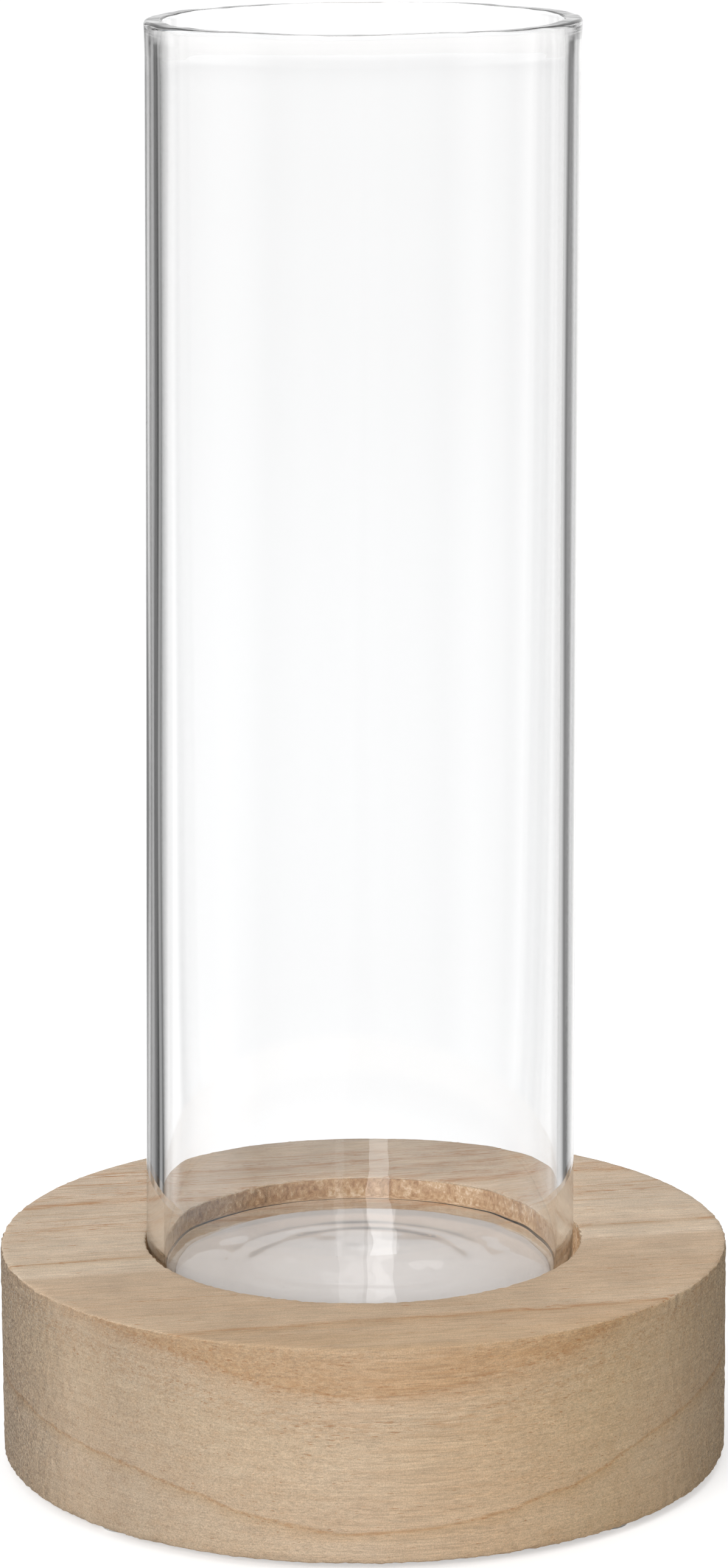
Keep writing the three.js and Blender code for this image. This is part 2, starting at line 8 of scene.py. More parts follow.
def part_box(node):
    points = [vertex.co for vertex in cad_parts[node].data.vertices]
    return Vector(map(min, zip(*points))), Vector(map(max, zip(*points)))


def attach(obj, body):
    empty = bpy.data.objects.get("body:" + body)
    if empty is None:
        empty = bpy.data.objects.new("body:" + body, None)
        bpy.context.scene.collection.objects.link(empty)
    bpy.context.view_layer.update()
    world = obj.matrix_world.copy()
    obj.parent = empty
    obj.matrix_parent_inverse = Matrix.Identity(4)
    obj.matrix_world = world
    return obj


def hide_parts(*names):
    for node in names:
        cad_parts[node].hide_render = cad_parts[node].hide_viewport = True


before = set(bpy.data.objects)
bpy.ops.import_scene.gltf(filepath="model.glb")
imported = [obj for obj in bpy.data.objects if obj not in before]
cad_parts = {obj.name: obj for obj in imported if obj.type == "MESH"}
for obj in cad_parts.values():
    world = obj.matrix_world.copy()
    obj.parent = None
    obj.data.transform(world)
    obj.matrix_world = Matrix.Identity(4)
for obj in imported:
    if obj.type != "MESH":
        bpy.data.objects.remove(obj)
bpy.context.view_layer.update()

bl_info = {
    "name": "Lamp Vase",
    "version": (1, 0, 0),
    "blender": (4, 5, 0),
    "location": "View3D > Sidebar > Lamp Vase",
    "description": "Dresses a clear glass vase on a wooden lamp base and sets a plain studio round it",
    "category": "Object",
}

MM = 0.001


def heights(node):
    """The heights of a node's lowest and highest points above the table, in millimetres."""
    return [(corner / MM)[2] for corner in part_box(node)]


WOOD_LOW, WOOD_HIGH = heights("wood_base")
GLASS_LOW, GLASS_HIGH = heights("glass_vessel")
CAP_LOW, CAP_HIGH = heights("diffuser")

# The wood's fibres lie across the vase, turned a little out of the X axis
FIBRE_TURN = math.radians(9.0)
FIBRE = np.array([math.cos(FIBRE_TURN), math.sin(FIBRE_TURN), 0.0])


# Numbers and meshes


def cloud(points, cell, seed, octaves=1):
    """Smooth noise from about -1 to 1: random heights on a cubic lattice with the given cell (one
    number or one for each axis), blended between the eight nearest corners with the step
    3t^2 - 2t^3. Each octave halves the cell and the height."""
    size = 32
    table = np.random.default_rng(seed).uniform(-1.0, 1.0, (size, size, size))
    total = np.zeros(points.shape[:-1])
    for octave in range(octaves):
        place = points / np.asarray(cell, float) * 2.0**octave + 7.3 * octave
        base = np.floor(place).astype(int)
        share = place - base
        share = share * share * (3.0 - 2.0 * share)
        value = np.zeros(points.shape[:-1])
        for corner in range(8):
            step = np.array([corner & 1, corner >> 1 & 1, corner >> 2 & 1])
            index = (base + step) % size
            weight = np.prod(np.where(step == 1, share, 1.0 - share), axis=-1)
            value += weight * table[index[..., 0], index[..., 1], index[..., 2]]
        total += value / 2.0**octave
    return total


def line(start, end, count):
    """Points (radius, height) evenly from start to end, the end left out."""
    share = np.linspace(0.0, 1.0, count, endpoint=False)[:, None]
    return np.asarray(start, float) * (1.0 - share) + np.asarray(end, float) * share


def path(*corners):
    """Points along straight stretches, from corners (radius, height, number of points up to the
    next), the last corner left out."""
    stretches = zip(corners[:-1], corners[1:])
    return np.concatenate([line(start[:2], end[:2], start[2]) for start, end in stretches])


def bend(centre, radius, start, end, count):
    """Points on a round stretch about centre, from one angle in degrees to another, the end left out:
    (r, z) = centre + radius (cos t, sin t)."""
    turn = np.radians(np.linspace(start, end, count, endpoint=False))
    return np.asarray(centre, float) + radius * np.stack([np.cos(turn), np.sin(turn)], 1)


def joined(stretches):
    """The points of an outline's stretches, given as pairs (kind, points), and each point's kind."""
    kinds = np.concatenate([np.full(len(points), kind) for kind, points in stretches])
    return np.concatenate([points for _, points in stretches]), kinds


def grid_faces(rows, columns, ring_rows):
    """Quads between each two rows of a grid whose columns close on themselves; ring_rows closes the
    rows too."""
    last = rows if ring_rows else rows - 1
    i, j = np.meshgrid(np.arange(last), np.arange(columns), indexing="ij")
    k, m = (i + 1) % rows, (j + 1) % columns
    quads = np.stack([i * columns + j, i * columns + m, k * columns + m, k * columns + j], -1)
    return quads.reshape(-1, 4)


def mesh_object(name, points, *faces, smooth=True):
    """A mesh object in metres from points in millimetres and arrays of faces, each face a row of
    corner numbers."""
    loops = np.concatenate([group.ravel() for group in faces])
    sizes = np.concatenate([np.full(len(group), group.shape[1]) for group in faces])
    mesh = bpy.data.meshes.new(name)
    mesh.vertices.add(len(points))
    mesh.vertices.foreach_set("co", (points * MM).astype(np.float32).ravel())
    mesh.loops.add(len(loops))
    mesh.loops.foreach_set("vertex_index", loops.astype(np.int32))
    mesh.polygons.add(len(sizes))
    starts = np.concatenate([[0], np.cumsum(sizes)[:-1]]).astype(np.int32)
    mesh.polygons.foreach_set("loop_start", starts)
    mesh.polygons.foreach_set("use_smooth", np.full(len(sizes), smooth))
    mesh.update(calc_edges=True)
    mesh.validate()
    thing = bpy.data.objects.new(name, mesh)
    bpy.context.scene.collection.objects.link(thing)
    return thing


def turned_grid(outline, columns):
    """The outline turned about Z: x = r cos t, y = r sin t, z = z, as rows x columns x 3."""
    turn = np.linspace(0.0, 2.0 * np.pi, columns, endpoint=False)
    r, z = outline[:, 0][:, None], outline[:, 1][:, None]
    return np.stack([r * np.cos(turn), r * np.sin(turn), np.broadcast_to(z, (len(outline), columns))], -1)


def capped_piece(name, points, start, end, aside=0.0):
    """A grid whose first and last rows close to a point on the axis, at the heights start and end; aside
    moves the whole piece along X."""
    rows, columns = points.shape[:2]
    quads = grid_faces(rows, columns, False)
    j = np.arange(columns)
    first, last = rows * columns, rows * columns + 1
    low = np.stack([np.full(columns, first), (j + 1) % columns, j], 1)
    edge = (rows - 1) * columns
    high = np.stack([np.full(columns, last), edge + j, edge + (j + 1) % columns], 1)
    corners = np.concatenate([points.reshape(-1, 3), [[0.0, 0.0, start], [0.0, 0.0, end]]])
    corners[:, 0] += aside
    return mesh_object(name, corners, quads, low, high)


def outward(points):
    """Unit normals of a grid from the cross product of its two directions."""
    along = np.roll(points, -1, 0) - np.roll(points, 1, 0)
    round_about = np.roll(points, -1, 1) - np.roll(points, 1, 1)
    normal = np.cross(round_about, along)
    return normal / np.maximum(np.linalg.norm(normal, axis=-1, keepdims=True), 1e-9)


# Nodes of the materials and the world


class Nodes:
    """The node tree of a material or of the world, with short ways to add the nodes it needs."""

    def __init__(self, owner):
        owner.use_nodes = True
        self.tree = owner.node_tree

    def node(self, kind, **settings):
        made = self.tree.nodes.new("ShaderNode" + kind)
        for key, value in settings.items():
            setattr(made, key, value)
        return made

    def feed(self, socket, value):
        if isinstance(value, bpy.types.NodeSocket):
            self.tree.links.new(value, socket)
        else:
            socket.default_value = value

    def wired(self, kind, *values, **settings):
        """The first output of a new node whose inputs take the values in their order."""
        made = self.node(kind, **settings)
        for socket, value in zip(made.inputs, values):
            self.feed(socket, value)
        return made.outputs[0]

    def calc(self, operation, *values, clamp=False):
        return self.wired("Math", *values, operation=operation, use_clamp=clamp)

    def product(self, value, *others):
        for other in others:
            value = self.calc("MULTIPLY", value, other)
        return value

    def plus(self, value, *pairs):
        """value + a b + ... over the pairs (a, b)."""
        for first, second in pairs:
            value = self.calc("ADD", value, self.calc("MULTIPLY", first, second))
        return value

    def centred(self, value):
        """A noise moved down to swing about 0."""
        return self.calc("SUBTRACT", value, 0.5)

    def parts(self, vector):
        made = self.node("SeparateXYZ")
        self.feed(made.inputs[0], vector)
        return made.outputs

    def distance(self, vector):
        made = self.node("VectorMath", operation="LENGTH")
        self.feed(made.inputs[0], vector)
        return made.outputs["Value"]

    def ramp(self, value, stops):
        """Colours or levels between stops given as (place, colour or level)."""
        made = self.node("ValToRGB")
        elements = made.color_ramp.elements
        for place, _ in stops[1:-1]:
            elements.new(place)
        for element, (place, paint) in zip(elements, stops):
            element.position = place
            element.color = (*paint, 1.0) if isinstance(paint, tuple) else (paint, paint, paint, 1.0)
        self.feed(made.inputs[0], value)
        return made.outputs[0]

    def curve(self, value, stops, straight=False):
        """A smooth curve through stops (place, level), or straight lines between them."""
        made = self.node("FloatCurve")
        points = made.mapping.curves[0].points
        for place, level in stops[1:-1]:
            points.new(place, level)
        points[0].location, points[-1].location = stops[0], stops[-1]
        if straight:
            for point in points:
                point.handle_type = "VECTOR"
        made.mapping.update()
        self.feed(made.inputs["Value"], value)
        return made.outputs[0]

    def spread(self, value, low, high, to_low=0.0, to_high=1.0):
        """The stretch from low to high, moved to the stretch from to_low to to_high and held there."""
        return self.wired("MapRange", value, low, high, to_low, to_high, clamp=True)

    def mix(self, share, first, second, mode="MIX"):
        made = self.node("Mix", data_type="RGBA", blend_type=mode)
        self.feed(made.inputs[0], share)
        for socket, paint in ((made.inputs[6], first), (made.inputs[7], second)):
            self.feed(socket, (*paint, 1.0) if isinstance(paint, tuple) else paint)
        return made.outputs[2]

    def tinted(self, layer, tint, share=1.0):
        """The layer times the tint, as far as share says."""
        return self.mix(share, layer, tint, "MULTIPLY")

    def output(self, kind, shader):
        self.feed(self.node("Output" + kind).inputs["Surface"], shader)


class Finish(Nodes):
    """A node material with one Principled shader. Its patterns are on Object coordinates."""

    def __init__(self, name, **constants):
        self.material = bpy.data.materials.new(name)
        super().__init__(self.material)
        self.shader = self.tree.nodes["Principled BSDF"]
        self.place = self.node("TexCoord").outputs["Object"]
        for socket, value in constants.items():
            self.shader.inputs[socket.replace("_", " ")].default_value = value

    def cells(self, size, turn=0.0, shift=(0.0, 0.0, 0.0)):
        """Coordinates counted in cells, whose size is in millimetres, one number or one for each axis
        after a turn on Z."""
        made = self.node("Mapping", vector_type="TEXTURE")
        self.feed(made.inputs["Vector"], self.place)
        made.inputs["Rotation"].default_value = (0.0, 0.0, turn)
        made.inputs["Scale"].default_value = np.broadcast_to(size, 3) * MM
        made.inputs["Location"].default_value = [s * MM for s in shift]
        return made.outputs[0]

    def noise(self, size, detail=2.0, roughness=0.5, turn=0.0, shift=(0.0, 0.0, 0.0)):
        made = self.node("TexNoise")
        self.feed(made.inputs["Vector"], self.cells(size, turn, shift))
        made.inputs["Scale"].default_value = 1.0
        made.inputs["Detail"].default_value = detail
        made.inputs["Roughness"].default_value = roughness
        return made.outputs[0]

    def bump(self, height, distance, strength):
        """Relief of the given height, times distance in millimetres."""
        made = self.node("Bump")
        self.feed(made.inputs["Height"], height)
        made.inputs["Distance"].default_value = distance * MM
        made.inputs["Strength"].default_value = strength
        return made.outputs[0]

    def finish(self, colour, roughness, normal):
        for socket, value in (("Base Color", colour), ("Roughness", roughness), ("Normal", normal)):
            self.feed(self.shader.inputs[socket], value)
        return self.material


def shade(red, green, blue):
    """A colour given as it looks on a screen, from 0 to 255, as the linear numbers a shader takes."""
    parts = np.array([red, green, blue]) / 255.0
    linear = np.where(parts <= 0.04045, parts / 12.92, ((parts + 0.055) / 1.055) ** 2.4)
    return tuple(float(v) for v in linear)


def shades(*rows):
    """Stops of a ramp from rows of place, red, green and blue."""
    return [(place, shade(*levels)) for place, *levels in rows]


# The wood

# Broad layers on the side, from the underside to above the top, and bands across the top face
SIDE_BANDS = shades(
    (0.0, 214, 188, 158), (0.34, 216, 191, 163), (0.376, 211, 183, 151), (0.385, 207, 174, 139),
    (0.390, 215, 189, 160), (0.60, 216, 191, 161), (0.69, 214, 189, 160), (0.745, 210, 180, 148),
    (0.763, 206, 171, 134), (0.785, 208, 174, 138), (0.90, 206, 176, 143), (1.0, 210, 184, 154),
)
TOP_BANDS = shades(
    (0.0, 204, 170, 132), (0.10, 206, 177, 145), (0.128, 200, 168, 134), (0.14, 209, 182, 152),
    (0.40, 208, 182, 154), (0.42, 224, 203, 178), (0.455, 221, 200, 175), (0.472, 204, 178, 150),
    (0.49, 216, 194, 169), (0.72, 216, 195, 171), (0.74, 205, 176, 148), (0.76, 216, 195, 172),
    (1.0, 212, 192, 170),
)

# How thickly the open pores stand along the growth lines of the side and of the top
SIDE_PORES = (
    (0.0, 0.0), (0.376, 0.0), (0.384, 0.9), (0.391, 0.1), (0.6, 0.15), (0.68, 0.55), (0.70, 0.2),
    (0.735, 0.3), (0.758, 0.9), (0.772, 0.5), (0.9, 0.3),
)
TOP_PORES = (
    (0.0, 0.1), (0.118, 0.1), (0.130, 1.0), (0.142, 0.1), (0.268, 0.1), (0.275, 0.7), (0.282, 0.1),
    (0.462, 0.0), (0.472, 0.9), (0.480, 0.0), (0.585, 0.0), (0.592, 0.7), (0.60, 0.0), (0.634, 0.8),
    (0.642, 0.1), (0.668, 0.6), (0.676, 0.1), (0.728, 0.2), (0.735, 1.0), (0.746, 1.0), (0.754, 0.2),
    (0.782, 0.8), (0.79, 0.1), (0.832, 0.8), (0.84, 0.1), (0.878, 0.9), (0.886, 0.1), (0.925, 0.6),
    (0.933, 0.1),
)

# How the growth layers rise over the wood's depth, from its front to its back, in shares of RISE
RISE = 20.0
RISE_STOPS = (
    (0.0, 0.0), (0.03, 0.045), (0.10, 0.20), (0.20, 0.325), (0.35, 0.40), (0.5, 0.425), (0.7, 0.45),
    (1.0, 0.475),
)

# Painted shade and light on the side by the cosine between its normal and the fibres, from -1 to 1: darker
# and greyer towards the left, warmer towards the right
SIDE_LIGHT_TINTS = (
    (0.0, (0.93, 0.93, 0.96)), (0.035, (0.86, 0.86, 0.86)), (0.12, (0.76, 0.77, 0.78)),
    (0.26, (0.91, 0.92, 0.92)), (0.42, (1.0, 1.0, 1.0)), (0.6, (1.0, 0.95, 0.87)),
    (0.76, (0.95, 0.91, 0.80)), (0.89, (0.90, 0.87, 0.80)), (1.0, (1.0, 1.0, 1.0)),
)


def drawn(f, size, detail, roughness=0.5, shift=(0.0, 0.0, 0.0)):
    """Noise drawn out along the fibres."""
    return f.noise(size, detail, roughness, FIBRE_TURN, shift)


def growth_lines(f):
    """Where a point lies in the growth layers, from 0 to 1: for the side w = height - rise(depth), as
    the layers rise to the back and a little to the right, and for the top its place across the
    fibres. Noise makes both wander."""
    along, across, height = f.parts(f.cells(1.0, FIBRE_TURN))
    rise = f.product(f.curve(f.spread(across, -50.0, 50.0), RISE_STOPS), RISE)
    lean = f.ramp(f.spread(along, -10.0, 30.0), [(0.0, 0.0), (0.25, 0.25), (0.6, 0.78), (1.0, 1.0)])
    growth = f.calc("SUBTRACT", f.calc("SUBTRACT", height, WOOD_LOW), f.plus(rise, (lean, 3.0)))
    drift = f.centred(drawn(f, (60.0, 26.0, 26.0), 1.0))
    fine_drift = f.centred(drawn(f, (14.0, 3.0, 3.0), 2.0))
    growth = f.plus(growth, (drift, 1.6), (fine_drift, 1.3))
    sway = f.centred(drawn(f, (24.0, 60.0, 60.0), 2.0))
    crossing = f.plus(across, (along, -0.06), (sway, 2.6))
    return f.spread(growth, -15.0, 35.0), f.spread(crossing, -50.0, 50.0)


def grained(f, layer):
    """Adds streaks, fibres, turning marks and dust. Also gives the fibres and marks for the relief."""
    streak = drawn(f, (34.0, 1.3, 1.1), 3.0, 0.6)
    layer = f.mix(f.spread(streak, 0.44, 0.74, 0.0, 0.38), layer, shade(196, 162, 128))
    pale = drawn(f, (46.0, 4.5, 2.6), 2.0, shift=(11.0, 5.0, 3.0))
    layer = f.mix(f.spread(pale, 0.5, 0.78, 0.0, 0.4), layer, shade(224, 203, 176))
    fibre = drawn(f, (5.0, 0.26, 0.24), 3.0, 0.75)
    turned = f.noise((9.0, 9.0, 0.24), 2.0, 0.7)
    dust = f.noise(0.17, 1.0)
    for pattern, low, high, stops in (
        (fibre, 0.32, 0.68, [(0.0, 0.80), (0.5, 1.0), (1.0, 1.13)]),
        (turned, 0.3, 0.7, [(0.0, 0.90), (1.0, 1.06)]),
        (dust, 0.32, 0.68, [(0.0, 0.88), (1.0, 1.10)]),
    ):
        layer = f.tinted(layer, f.ramp(f.spread(pattern, low, high), stops))
    return layer, fibre, turned


def pored(f, layer, upward, layers, crossing):
    """Adds the open pores: orange-brown dashes on the growth lines, and short ones in loose rows
    between. Also gives the short ones for the relief."""
    lines = f.mix(upward, f.ramp(layers, SIDE_PORES), f.ramp(crossing, TOP_PORES))
    dash = drawn(f, (5.5, 0.5, 0.45), 2.0, 0.65, (6.0, 2.0, 9.0))
    dashes = f.product(f.spread(dash, 0.44, 0.62), lines, f.spread(upward, 0.0, 1.0, 0.6, 0.75))
    layer = f.mix(dashes, layer, shade(184, 137, 94))
    row = drawn(f, (26.0, 1.0, 0.8), 2.0, 0.6, (3.0, 8.0, 1.0))
    gather = f.calc("ADD", f.spread(row, 0.42, 0.72, 0.0, 0.7), f.product(lines, 0.75), clamp=True)
    level = f.calc("SUBTRACT", 0.735, f.product(gather, 0.15))
    pore = drawn(f, (3.4, 0.42, 0.26), 1.5, 0.6)
    fleck = drawn(f, (1.4, 0.28, 0.19), 1.0, shift=(2.0, 7.0, 4.0))
    pores = f.spread(f.calc("SUBTRACT", pore, level), 0.0, 0.09)
    flecks = f.spread(f.calc("SUBTRACT", fleck, f.calc("ADD", level, 0.03)), 0.0, 0.08)
    pores = f.calc("MAXIMUM", pores, flecks)
    depth_of_colour = f.spread(upward, 0.0, 1.0, 0.55, 0.7)
    return f.mix(f.product(pores, depth_of_colour), layer, shade(176, 120, 74)), pores


def cut_ended(f, layer, upward, normal):
    """Makes the cut ends of the fibres darker, greyer and rough, with pale torn fibres standing out, and
    paints shade and light on the side by how it faces: painted shade and a cool painted light on the left,
    warm painted light on the right. Also gives the share of cut ends, the grit and the torn fibres for the
    relief."""
    dot = f.node("VectorMath", operation="DOT_PRODUCT")
    f.feed(dot.inputs[0], normal)
    dot.inputs[1].default_value = FIBRE
    cosine = dot.outputs["Value"]
    cut = f.calc("MAXIMUM", f.spread(cosine, 0.70, 0.97), f.spread(cosine, -0.86, -0.995))
    grit = f.noise(0.38, 3.0, 0.7)
    grit_shades = shades((0.0, 140, 134, 124), (0.5, 204, 200, 190), (1.0, 255, 252, 240))
    layer = f.tinted(layer, f.ramp(f.spread(grit, 0.34, 0.66), grit_shades), f.product(cut, 0.9))
    # Painted shade on the left of the side and painted warm light on the right
    painted_side_light = f.ramp(f.spread(cosine, -1.0, 1.0), SIDE_LIGHT_TINTS)
    layer = f.tinted(layer, painted_side_light, f.calc("SUBTRACT", 1.0, upward))
    lifted = f.noise((0.5, 0.5, 0.24), 1.0)
    patchy = f.noise((9.0, 9.0, 6.0), 2.0, 0.6)
    torn_out = f.calc("SUBTRACT", lifted, f.spread(patchy, 0.3, 0.7, 0.73, 0.64))
    specks = f.product(f.spread(torn_out, 0.0, 0.05), cut)
    layer = f.mix(f.product(specks, 0.6), layer, shade(232, 222, 204))
    # Painted cool light on the faces turned to the left
    painted_cool_light = f.product(f.spread(f.parts(normal)[0], -0.75, -1.0), 0.8)
    return f.tinted(layer, (0.97, 1.02, 1.14), painted_cool_light), cut, grit, specks


def shadowed_top(f, layer, upward, aside, back):
    """Paints the glass's shadow on the top behind the glass, and makes a patch at the far right darker."""
    # Painted shadow of the glass on the top behind it
    behind = f.product(f.spread(f.calc("ABSOLUTE", aside), 29.0, 22.0), f.spread(back, 24.0, 33.0), upward)
    layer = f.tinted(layer, (0.80, 0.795, 0.79), behind)
    far_right = f.product(f.spread(aside, 27.0, 33.0), f.spread(back, 8.0, 22.0), upward)
    return f.tinted(layer, (0.89, 0.895, 0.90), far_right)


def milled(f, layer, aside):
    """Makes the milled wall of the recess browner, torn in patches, and darker at the left with painted
    shade.
    Also gives its tears for the relief."""
    torn = f.node("Attribute", attribute_name="torn").outputs["Fac"]
    patch = f.noise((0.8, 0.8, 1.0), 4.0, 0.75)
    drag = f.centred(f.noise((6.0, 6.0, 3.5), 2.0, 0.6))
    torn_shade = f.ramp(
        f.spread(f.plus(patch, (drag, 0.5)), 0.32, 0.68),
        shades((0.0, 160, 116, 78), (0.4, 194, 154, 114), (0.7, 214, 178, 140), (1.0, 240, 216, 186)),
    )
    # Painted shade on the left of the recess wall
    torn_shade = f.tinted(torn_shade, (0.88, 0.84, 0.78), f.spread(aside, 2.0, -14.0))
    return f.mix(f.product(torn, 0.9), layer, torn_shade), f.product(patch, torn)


def pale_wood():
    """Open-pored pale wood: bands by its growth lines, then grain, pores, cut ends with painted shade and
    light, a painted shadow of the glass and a darker patch on the top.
    """
    f = Finish("pale_wood", Specular_IOR_Level=0.25)
    normal = f.node("TexCoord").outputs["Normal"]
    upward = f.spread(f.parts(normal)[2], 0.45, 0.75)
    layers, crossing = growth_lines(f)
    layer = f.mix(upward, f.ramp(layers, SIDE_BANDS), f.ramp(crossing, TOP_BANDS))
    layer, fibre, turned = grained(f, layer)
    layer, pores = pored(f, layer, upward, layers, crossing)
    layer, cut, grit, specks = cut_ended(f, layer, upward, normal)
    aside, back, _ = f.parts(f.cells(1.0))
    layer = shadowed_top(f, layer, upward, aside, back)
    layer, tears = milled(f, layer, aside)
    relief = f.plus(
        f.product(fibre, 0.13), (pores, -0.2), (turned, 0.3), (grit, f.plus(0.3, (cut, 2.4))),
        (specks, 2.0), (tears, 3.0),
    )
    return f.finish(layer, f.spread(fibre, 0.2, 0.8, 0.70, 0.9), f.bump(relief, 0.16, 0.8))


# The other materials


def clear_glass():
    """Clear soda glass: the shader's own refraction, with a trace of warm grey in it."""
    glass = (0.9885, 0.986, 0.984, 1.0)
    f = Finish("clear_glass", Roughness=0.0, Transmission_Weight=1.0, IOR=1.5, Base_Color=glass)
    return f.material


def opal_cap():
    """Opal plastic, satin, with a few dust specks. Painted light makes it white in the middle, and painted
    shade makes it warmer and darker towards the rim."""
    f = Finish("opal_cap")
    haze = f.noise(14.0, 3.0, 0.6)
    layer = f.mix(f.spread(haze, 0.3, 0.7), shade(216, 209, 206), shade(224, 217, 213))
    # The distance from a point a little to the right of the middle and in front of it, flat on the cap
    across = f.distance(f.cells((1.0, 1.0, 1.0e6), shift=(1.5, -5.0, 0.0)))
    drift = f.centred(f.noise(12.0, 1.0))
    # Painted light in the middle of the cap and painted warm shade towards its rim
    painted_light_and_shade = f.ramp(
        f.spread(f.plus(across, (drift, 4.0)), 0.0, 26.0),
        [(0.0, (1.10, 1.09, 1.08)), (0.18, (1.05, 1.045, 1.035)), (0.32, (0.99, 0.98, 0.965)),
         (0.5, (0.93, 0.91, 0.88)), (0.66, (0.86, 0.82, 0.78)), (0.78, (0.80, 0.745, 0.69)),
         (1.0, (0.90, 0.85, 0.80))],
    )
    layer = f.tinted(layer, painted_light_and_shade)
    speck = f.spread(f.noise(0.5, 0.0, shift=(3.0, 1.0, 0.0)), 0.84, 0.87)
    layer = f.mix(f.product(speck, 0.6), layer, shade(90, 78, 70))
    grit = f.noise(0.3)
    return f.finish(layer, f.spread(haze, 0.2, 0.8, 0.38, 0.5), f.bump(grit, 0.006, 0.6))


def moulded(name, colour, roughness, texture=0.25, depth=0.012):
    """Moulded plastic: a fine spark-eroded texture, and a little cloudiness in colour and gloss."""
    f = Finish(name)
    grit, haze = f.noise(texture, 2.0, 0.6), f.noise(9.0, 3.0, 0.6)
    layer = f.mix(f.spread(haze, 0.3, 0.7), tuple(0.88 * v for v in colour), colour)
    gloss = f.spread(f.calc("ADD", grit, haze), 0.7, 1.3, roughness - 0.06, roughness + 0.08)
    return f.finish(layer, gloss, f.bump(grit, depth, 0.8))


def brushed(name, colour, roughness, size):
    """Plated metal: fine drawn lines along one axis and a cloudy sheen."""
    f = Finish(name, Metallic=1.0)
    lines, haze = f.noise(size, 3.0, 0.6), f.noise(3.0, 2.0, 0.6)
    layer = f.mix(f.spread(haze, 0.3, 0.7), tuple(0.86 * v for v in colour), colour)
    gloss = f.spread(lines, 0.25, 0.75, roughness - 0.07, roughness + 0.12)
    return f.finish(layer, gloss, f.bump(lines, 0.01, 0.5))


def rubber():
    """Milky silicone, matte."""
    f = Finish("pad_rubber", Specular_IOR_Level=0.3)
    grit = f.noise(0.18, 3.0, 0.7)
    layer = f.mix(f.spread(grit, 0.3, 0.7), shade(222, 221, 216), shade(234, 233, 229))
    return f.finish(layer, f.spread(grit, 0.3, 0.7, 0.6, 0.8), f.bump(grit, 0.01, 0.8))


def glossy(name, coat, haze, dark, light, gloss, relief, depth, strength):
    """A clear-coated finish. A haze lies between two colours and two roughnesses, and the relief is a
    noise too."""
    f = Finish(name, Coat_Weight=coat)
    haze, relief = f.noise(*haze), f.noise(*relief)
    layer = f.mix(f.spread(haze, 0.3, 0.7), shade(*dark), shade(*light))
    return f.finish(layer, f.spread(haze, 0.2, 0.8, *gloss), f.bump(relief, depth, strength))


def cell_wrap():
    """Shrink film on a cell: dark, with faint ripples."""
    haze, ripple = ((6.0, 2.0, 2.0), 3.0, 0.6), ((0.6, 3.0, 3.0),)
    return glossy("cell_jacket", 0.4, haze, (44, 47, 52), (58, 62, 68), (0.24, 0.4), ripple, 0.02, 0.4)


def diode_resin():
    """Resin filled with yellow phosphor."""
    haze = (0.4, 3.0, 0.6)
    return glossy("led_body", 0.5, haze, (236, 214, 120), (246, 232, 160), (0.25, 0.4), haze, 0.01, 0.4)


def circuit_board():
    """White solder mask over the faint weave of a circuit board."""
    haze, weave = (5.0, 3.0, 0.5), (0.4,)
    return glossy("board", 0.2, haze, (222, 228, 220), (232, 236, 230), (0.32, 0.48), weave, 0.008, 0.5)


def dress(node, material):
    """Gives a carried-over node its finish."""
    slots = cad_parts[node].data.materials
    slots.clear()
    slots.append(material)


# The glass's form


def glass_form(s, low, high):
    """The true round form, and the kind of face that each row of points is on."""
    outer, inner, edge = s.radius, s.radius - s.wall, s.rim_rounding
    foot, fillet, bottom = s.foot_rounding, s.inner_rounding, low + s.floor
    # The wall begins to swell at neck, and stands out by outer_neck and inner_neck at collar
    neck, collar, outer_neck, inner_neck, inner_swell = high - 4.5, high - 2.4, 0.05, 0.03, 0.06
    crest, inner_crest = outer + s.rim_swell - edge, inner - inner_swell + edge
    share = np.linspace(0.0, 1.0, 56, endpoint=False)[2:]
    outline, kinds = joined([
        ("under", np.stack([s.punt_radius * share, np.full(len(share), float(low))], 1)),
        ("under", line((s.punt_radius, low), (outer - foot, low), 8)),
        ("foot", bend((outer - foot, low + foot), foot, -90, 0, 12)),
        ("outside", line((outer, low + foot), (outer, neck), 60)),
        ("outer_neck", line((outer, neck), (outer + outer_neck, collar), 5)),
        ("rim", bend((crest, high - edge), edge, -15, 90, 11)),
        ("rim", line((crest, high), (inner_crest, high), 5)),
        ("rim", bend((inner_crest, high - edge), edge, 90, 195, 11)),
        ("inner_neck", line((inner - inner_neck, collar), (inner, neck), 5)),
        ("inside", line((inner, neck), (inner, bottom + fillet), 60)),
        ("fillet", bend((inner - fillet, bottom + fillet), fillet, 0, -90, 14)),
        ("floor", line((inner - fillet, bottom), (0.4, bottom), 22)),
    ])
    return turned_grid(outline, 288), kinds


def wave_wall(s, points, kinds):
    """The wall wanders slowly round the glass and hardly along it, and its two faces differ."""
    inner = np.isin(kinds, ("inner_neck", "inside"))[:, None, None]
    wall = inner | np.isin(kinds, ("outside", "outer_neck", "rim"))[:, None, None]
    radial = points * np.array([1.0, 1.0, 0.0])
    radial /= np.maximum(np.linalg.norm(radial, axis=-1, keepdims=True), 1e-9)
    outer_wander = cloud(points, (13.0, 13.0, 150.0), 21, 2)[..., None]
    inner_wander = cloud(points, (9.0, 9.0, 110.0), 22, 2)[..., None]
    wander = np.where(inner, inner_wander * 1.3, outer_wander) * s.waviness
    ripple = cloud(points, 60.0, 23)[..., None] * s.waviness * 1.5
    points += radial * np.where(wall, wander + ripple, 0.0)


